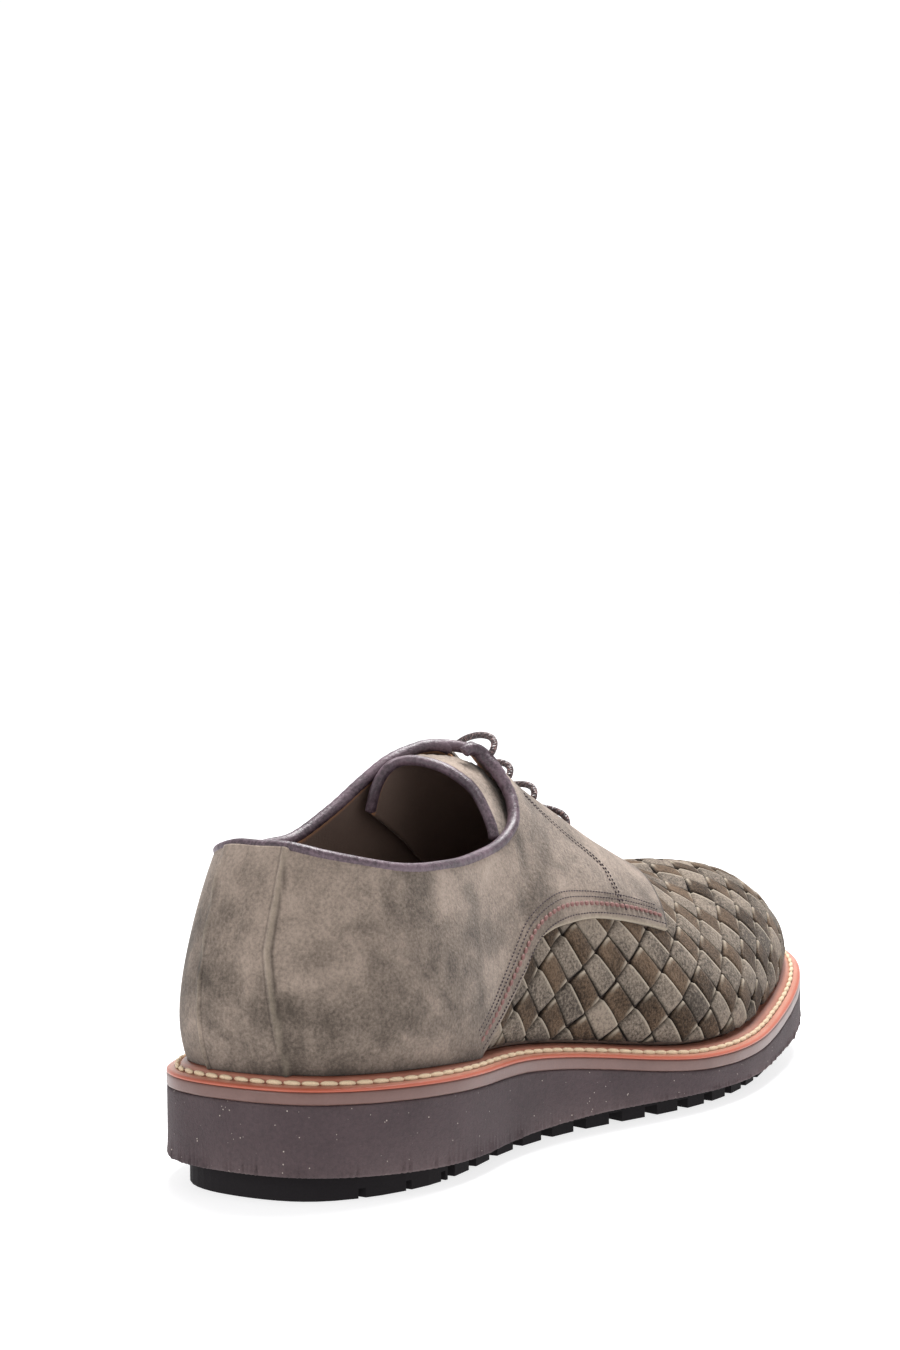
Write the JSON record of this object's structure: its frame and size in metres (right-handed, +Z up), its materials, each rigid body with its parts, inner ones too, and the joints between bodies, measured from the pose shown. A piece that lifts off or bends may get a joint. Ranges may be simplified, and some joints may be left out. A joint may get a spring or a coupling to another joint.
{
  "type": "derby shoe",
  "caption": "Low lace-up shoe for the right foot, with open-laced quarters over a woven vamp and a wedge sole with a lugged tread.",
  "frame": {"origin": "on the floor, at the middle of the sole's outline in plan", "axes": "+X from the heel to the toe, +Y to the inner (medial) side, +Z up"},
  "size_m": [0.304, 0.1048, 0.114],
  "materials": {
    "suede": "olive-taupe suede with a soft nap",
    "binding": "smooth dark purple-brown",
    "lining": "tan, matte",
    "welt": "cognac, satin",
    "midsole": "mauve-tan, satin",
    "foam": "mauve-brown micro-cellular foam, matte",
    "rubber": "black, matte",
    "lace": "round waxed cord"
  },
  "bodies": {
    "root": {"heel_tread": "rubber", "forefoot_tread": "rubber", "foam_wedge": "foam", "midsole": "midsole", "welt": "welt", "insole": "lining", "upper": "suede", "tongue": "lining", "collar_binding": "binding", "tongue_binding": "binding", "laces": "lace"}
  },
  "joints": []
}
